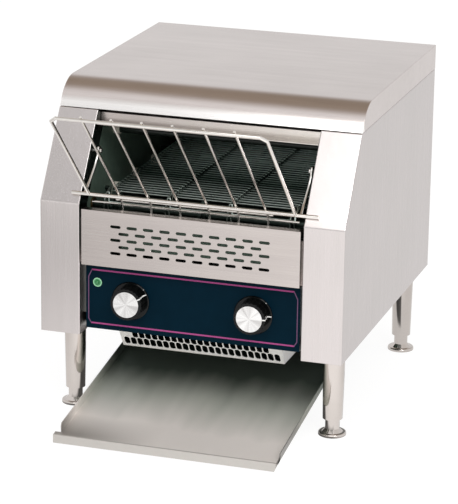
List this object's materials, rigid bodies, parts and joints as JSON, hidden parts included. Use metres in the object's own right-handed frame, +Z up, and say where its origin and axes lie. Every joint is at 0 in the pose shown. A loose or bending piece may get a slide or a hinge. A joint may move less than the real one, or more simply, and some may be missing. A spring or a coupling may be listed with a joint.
{
  "type": "conveyor toaster",
  "caption": "Countertop conveyor toaster: bread rides a wire belt between quartz heaters and slides out on a front tray.",
  "frame": {"origin": "on the counter, under the middle of the bounding box with the tray and rack in place", "axes": "+X to the user's right, +Y from the front to the back, +Z up"},
  "size_m": [0.368, 0.5384, 0.4002],
  "materials": {
    "brushed_sheet": "brushed stainless sheet",
    "plated_sheet": "zinc-plated sheet",
    "navy_film": "glossy dark blue film",
    "lamp_ring": "bright ring",
    "lamp_green": "clear green",
    "knob_black": "glossy black",
    "knob_metal": "spun bright",
    "turned_steel": "turned steel",
    "switch_plastic": "moulded black",
    "belt_wire": "heat-tinted steel wire",
    "bush_bronze": "sintered bronze",
    "quartz": "milky quartz",
    "coil_wire": "oxidised resistance wire",
    "ceramic": "white ceramic",
    "reflector": "bright aluminised sheet",
    "chain_steel": "oiled dark steel",
    "motor_paint": "grey enamel",
    "bright_wire": "polished wire",
    "leg_steel": "polished stainless",
    "zinc": "zinc-plated"
  },
  "bodies": {
    "housing": {"air_duct": "brushed_sheet", "base_pan": "plated_sheet", "base_rails": "plated_sheet", "bay_rear_wall": "plated_sheet", "belt_support_frame": "turned_steel", "cable_gland": "switch_plastic", "chamber_floor": "plated_sheet", "control_overlay": "navy_film", "control_panel": "plated_sheet", "conveyor_belt": "belt_wire", "drive_chain": "chain_steel", "fan_frame": "switch_plastic", "gear_motor": "motor_paint", "header_strip": "brushed_sheet", "heat_selector": "switch_plastic", "heater_coils": "coil_wire", "heater_end_caps": "ceramic", "heater_tubes": "quartz", "lamp_bezel": "lamp_ring", "lamp_lens": "lamp_green", "left_inner_wall": "plated_sheet", "left_side_panel": "brushed_sheet", "leg_nuts": "zinc", "legs": "leg_steel", "lower_reflector": "reflector", "motor_bracket": "plated_sheet", "rack_studs": "bright_wire", "rear_panel": "brushed_sheet", "rear_panel_screws": "zinc", "return_chute": "brushed_sheet", "right_inner_wall": "plated_sheet", "right_side_panel": "brushed_sheet", "shaft_bushes": "bush_bronze", "slotted_front_panel": "brushed_sheet", "speed_controller": "switch_plastic", "terminal_block": "ceramic", "thermal_cutout": "motor_paint", "top_cover": "brushed_sheet", "tray_runners": "brushed_sheet", "upper_reflector": "reflector"},
    "toast_tray": {"toast_tray": "brushed_sheet"},
    "feed_rack": {"feed_rack": "bright_wire"},
    "heat_knob": {"heat_knob": "knob_black", "heat_knob_cap": "knob_metal", "heat_spindle": "turned_steel"},
    "speed_knob": {"speed_knob": "knob_black", "speed_knob_cap": "knob_metal", "speed_spindle": "turned_steel"},
    "drive_shaft": {"drive_shaft": "turned_steel", "drive_belt_sprockets": "turned_steel", "driven_sprocket": "turned_steel"},
    "idler_shaft": {"idler_shaft": "turned_steel", "idler_belt_sprockets": "turned_steel"},
    "motor_output": {"motor_shaft": "turned_steel", "motor_sprocket": "turned_steel"},
    "fan_rotor": {"fan_rotor": "switch_plastic"},
    "front_left_foot": {"front_left_foot": "leg_steel"},
    "front_right_foot": {"front_right_foot": "leg_steel"},
    "rear_left_foot": {"rear_left_foot": "leg_steel"},
    "rear_right_foot": {"rear_right_foot": "leg_steel"}
  },
  "joints": [
    {"name": "tray_slide", "type": "slide", "parent": "housing", "child": "toast_tray", "axis": [0, 0.9877, 0.1565], "range_m": [0, 0.06]},
    {"name": "rack_lift", "type": "slide", "parent": "housing", "child": "feed_rack", "axis": [0, 0, 1], "range_m": [0, 0.02]},
    {"name": "heat_knob_turn", "type": "hinge", "parent": "housing", "child": "heat_knob", "pos_m": [-0.075, -0.15613, 0.1503], "axis": [0, 1, 0], "range_deg": [-180, 90]},
    {"name": "speed_knob_turn", "type": "hinge", "parent": "housing", "child": "speed_knob", "pos_m": [0.075, -0.15613, 0.1503], "axis": [0, 1, 0], "range_deg": [-238, 62]},
    {"name": "belt_drive_turn", "type": "hinge", "parent": "housing", "child": "drive_shaft", "pos_m": [0, 0.18117, 0.252], "axis": [1, 0, 0], "continuous": true},
    {"name": "belt_idler_turn", "type": "hinge", "parent": "housing", "child": "idler_shaft", "pos_m": [0, -0.10083, 0.252], "axis": [1, 0, 0], "continuous": true},
    {"name": "motor_turn", "type": "hinge", "parent": "housing", "child": "motor_output", "pos_m": [0.1445, 0.18117, 0.17], "axis": [1, 0, 0], "continuous": true},
    {"name": "fan_turn", "type": "hinge", "parent": "housing", "child": "fan_rotor", "pos_m": [0, -0.02683, 0.1192], "axis": [0, 0, 1], "continuous": true},
    {"name": "front_left_foot_turn", "type": "hinge", "parent": "housing", "child": "front_left_foot", "pos_m": [-0.1608, -0.09593, 0], "axis": [0, 0, 1], "continuous": true},
    {"name": "front_right_foot_turn", "type": "hinge", "parent": "housing", "child": "front_right_foot", "pos_m": [0.1608, -0.09593, 0], "axis": [0, 0, 1], "continuous": true},
    {"name": "rear_left_foot_turn", "type": "hinge", "parent": "housing", "child": "rear_left_foot", "pos_m": [-0.1608, 0.22797, 0], "axis": [0, 0, 1], "continuous": true},
    {"name": "rear_right_foot_turn", "type": "hinge", "parent": "housing", "child": "rear_right_foot", "pos_m": [0.1608, 0.22797, 0], "axis": [0, 0, 1], "continuous": true}
  ],
  "couplings": [
    {"joint": "belt_idler_turn", "follows": "belt_drive_turn", "ratio": 1},
    {"joint": "motor_turn", "follows": "belt_drive_turn", "ratio": 1.4286}
  ]
}
